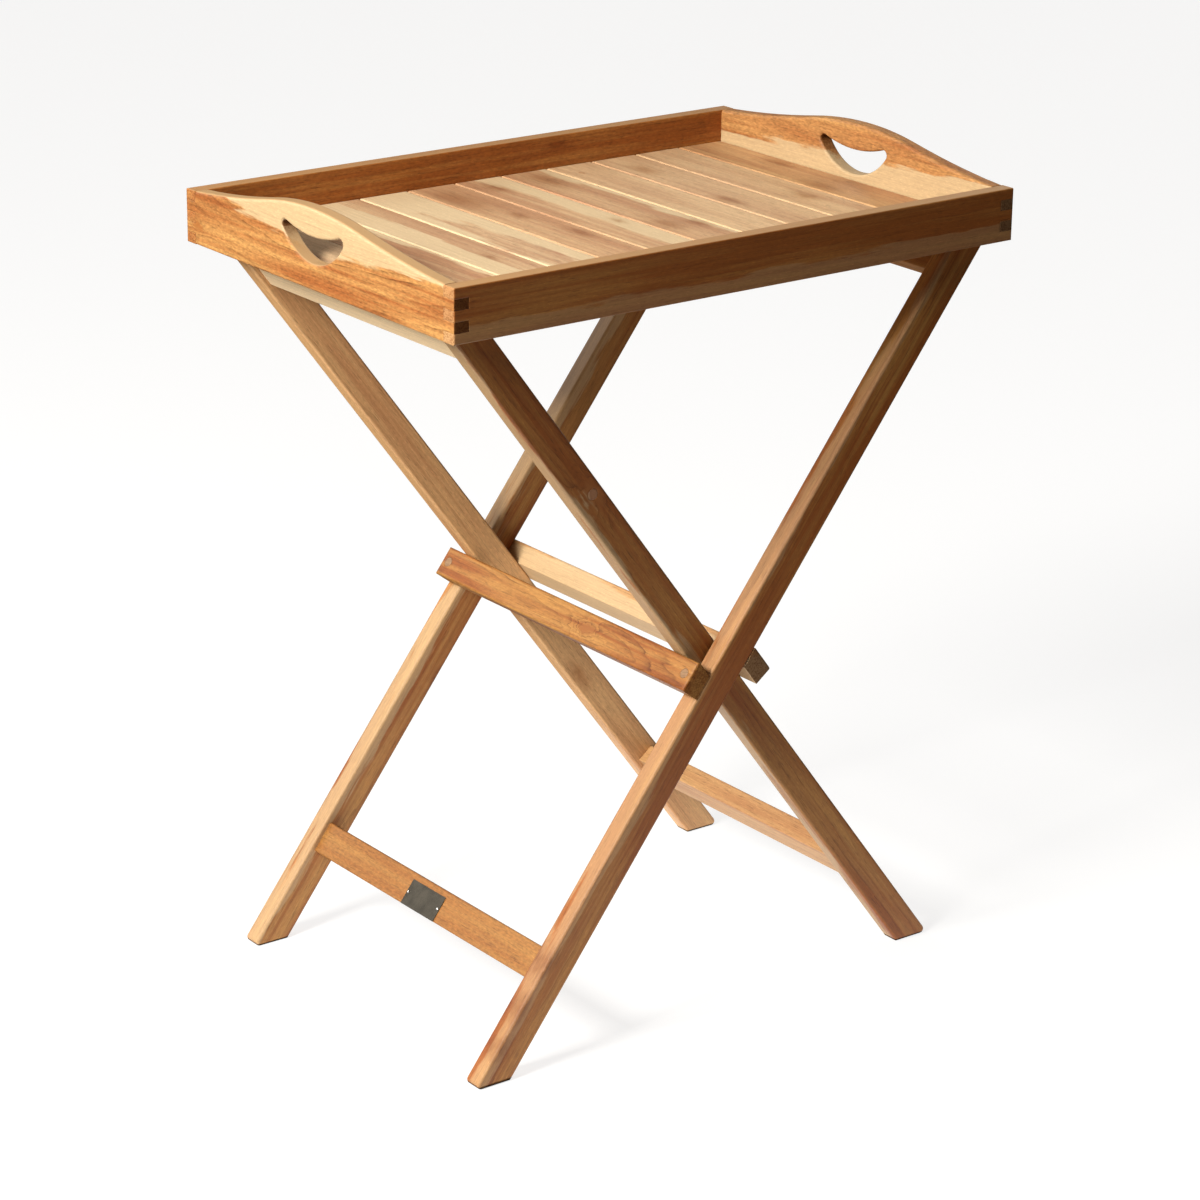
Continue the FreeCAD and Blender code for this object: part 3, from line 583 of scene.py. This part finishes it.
def teak_for(name, seed):
    """The teak of one board, laid along it."""
    cut = boards[name]
    material, tree, shader = new_material(f"teak_{name}")
    low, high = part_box(name)
    along, across, through = lay_of(nodes[name])
    coords = add(tree, "ShaderNodeTexCoord").outputs
    from_middle = work_out_vector(tree, "SUBTRACT", coords["Object"], (low + high) / 2)
    place = add(tree, "ShaderNodeCombineXYZ")
    for socket, direction in zip(place.inputs, (along, across, through)):
        feed(tree, socket, work_out_vector(tree, "DOT_PRODUCT", from_middle, direction * millimetres))

    wood = add(tree, "ShaderNodeGroup", node_tree=teak)
    settings = {
        "Heart across": cut.heart[0], "Heart depth": cut.heart[1],
        "Lean across": cut.lean[0], "Lean depth": cut.lean[1], "Bow": cut.bow,
        "Ring width": cut.rings, "Sap distance": cut.sap, "Sap strength": cut.sap_strength,
        "Tone": cut.tone, "Pale": cut.pale, "Shade": cut.shade, "Figure": cut.figure, "Mottle": cut.mottle,
        "End darkness": cut.ends, "Top wear and shade": cut.top_wear_and_shade, "Knot": cut.knot, "Seed": seed,
    }
    settings.update(zip(teak_stains, cut.stains))
    for setting, value in settings.items():
        feed(tree, wood.inputs[setting], value)
    feed(tree, wood.inputs["Place"], place.outputs["Vector"])
    end_facing = work_out_vector(tree, "DOT_PRODUCT", coords["Normal"], along)
    feed(tree, wood.inputs["End facing"], work_out(tree, "ABSOLUTE", end_facing))
    top_facing = work_out_vector(tree, "DOT_PRODUCT", coords["Normal"], up)
    feed(tree, wood.inputs["Top facing"], top_facing)
    rounded = add(tree, "ShaderNodeBevel", samples=edge_samples)
    feed(tree, rounded.inputs["Radius"], edge_radius)
    feed(tree, wood.inputs["Edge"], edge_share(tree, rounded.outputs["Normal"]))

    feed(tree, shader.inputs["Base Color"], wood.outputs["Colour"])
    feed(tree, shader.inputs["Roughness"], wood.outputs["Roughness"])
    feed(tree, shader.inputs["Specular IOR Level"], wood.outputs["Gloss"])
    roughen(tree, shader, wood.outputs["Height"], wood_bump, wood_bump_depth, rounded.outputs["Normal"])
    return material


def edge_share(tree, rounded_normal):
    """1 along edges, where the rounded normal turns away from the face."""
    flat = add(tree, "ShaderNodeNewGeometry").outputs["Normal"]
    agree = work_out_vector(tree, "DOT_PRODUCT", rounded_normal, flat)
    return step_up(tree, work_out(tree, "SUBTRACT", 1.0, agree), *edge_range)


def metal(name, light, dark, roughness, scratch_length):
    """Metal with fine scratches and cloudy wear."""
    material, tree, shader = new_material(name)
    place = add(tree, "ShaderNodeTexCoord").outputs["Object"]
    scratches = noise(tree, place, (scratch_length, scratch_width, scratch_width), detail=3.0)
    clouds = noise(tree, place, cloud_size, detail=4.0)
    cloudy = work_out(tree, "MULTIPLY", clouds, cloud_weight)
    wear = scale_and_shift(tree, scratches, scratch_weight, cloudy)
    colour = mix_colours(tree, step_up(tree, wear, *wear_range), dark, light)
    feed(tree, shader.inputs["Base Color"], colour)
    feed(tree, shader.inputs["Roughness"], scale_and_shift(tree, clouds, cloud_roughness, roughness))
    shader.inputs["Metallic"].default_value = 1.0
    roughen(tree, shader, scratches, metal_bump, metal_bump_depth)
    return material


teak = make_teak()
for index, board_name in enumerate(sorted(boards)):
    dress(nodes[board_name], teak_for(board_name, first_seed + index * seed_step))

steel = metal("steel", light=(0.66, 0.65, 0.63), dark=(0.42, 0.41, 0.40), roughness=0.28,
              scratch_length=0.004)
for name in ("outer_stop_screws", "inner_stop_screws", "pivot_pin_front", "pivot_pin_back",
             "pivot_washer_front", "pivot_washer_back"):
    dress(nodes[name], steel)
plate = metal("plate", light=(0.098, 0.085, 0.065), dark=(0.047, 0.041, 0.032), roughness=0.4,
              scratch_length=0.02)
dress(nodes["label_plate"], plate)
bright_pin = metal("bright_pin", light=(0.85, 0.84, 0.80), dark=(0.6, 0.59, 0.56), roughness=0.2,
                   scratch_length=0.002)
dress(nodes["label_plate_pins"], bright_pin)


# Stage
def place_in_scene(thing):
    bpy.context.scene.collection.objects.link(thing)


def make_floor():
    mesh = bpy.data.meshes.new("floor")
    corners = [(x * floor_reach, y * floor_reach, 0.0) for x, y in ((-1, -1), (1, -1), (1, 1), (-1, 1))]
    mesh.from_pydata(corners, [], [(0, 1, 2, 3)])
    floor = bpy.data.objects.new("floor", mesh)
    place_in_scene(floor)
    material, _, shader = new_material("floor")
    shader.inputs["Base Color"].default_value = (*floor_colour, 1.0)
    shader.inputs["Roughness"].default_value = floor_roughness
    shader.inputs["Emission Color"].default_value = (*floor_glow, 1.0)
    shader.inputs["Emission Strength"].default_value = 1.0
    dress(floor, material)
    floor.visible_diffuse = False
    floor.visible_glossy = False


def make_lamp(name, kind, comes_from, colour):
    data = bpy.data.lights.new(name, kind)
    data.color = colour
    lamp = bpy.data.objects.new(name, data)
    lamp.rotation_mode = "QUATERNION"
    lamp.rotation_quaternion = Vector(comes_from).to_track_quat("Z", "Y")
    lamp.visible_camera = False
    place_in_scene(lamp)
    return lamp


def make_panel(name, place, comes_from, power, size, colour):
    lamp = make_lamp(name, "AREA", comes_from, colour)
    lamp.location = place
    lamp.data.energy = power
    lamp.data.shape = "RECTANGLE"
    lamp.data.size, lamp.data.size_y = size


def make_sun(name, comes_from, strength, spread_degrees):
    lamp = make_lamp(name, "SUN", comes_from, sun_colour)
    lamp.data.energy = strength
    lamp.data.angle = math.radians(spread_degrees)


def make_room():
    world = bpy.data.worlds.new("room")
    world.use_nodes = True
    background = world.node_tree.nodes["Background"]
    background.inputs["Color"].default_value = (*room_colour, 1.0)
    seen = add(world.node_tree, "ShaderNodeLightPath").outputs["Is Camera Ray"]
    strength = scale_and_shift(world.node_tree, seen, sky_strength - room_strength, room_strength)
    feed(world.node_tree, background.inputs["Strength"], strength)
    bpy.context.scene.world = world


def make_camera():
    data = bpy.data.cameras.new("camera")
    data.lens = camera_lens_mm
    data.sensor_width = camera_sensor_mm
    camera = bpy.data.objects.new("camera", data)
    camera.location = camera_place
    camera.rotation_euler = [math.radians(turn) for turn in camera_turn_degrees]
    place_in_scene(camera)
    bpy.context.scene.camera = camera


make_floor()
make_panel("key", key_place, Vector(key_place) - Vector(key_aim), key_power, key_size, key_colour)
make_panel("glow", glow_place, down, glow_power, glow_size, glow_colour)
make_sun("top", top_from, top_strength, top_spread_degrees)
make_sun("back", back_from, back_strength, back_spread_degrees)
make_sun("side", side_from, side_strength, side_spread_degrees)
make_room()
make_camera()
bpy.context.scene.view_settings.view_transform = "Standard"
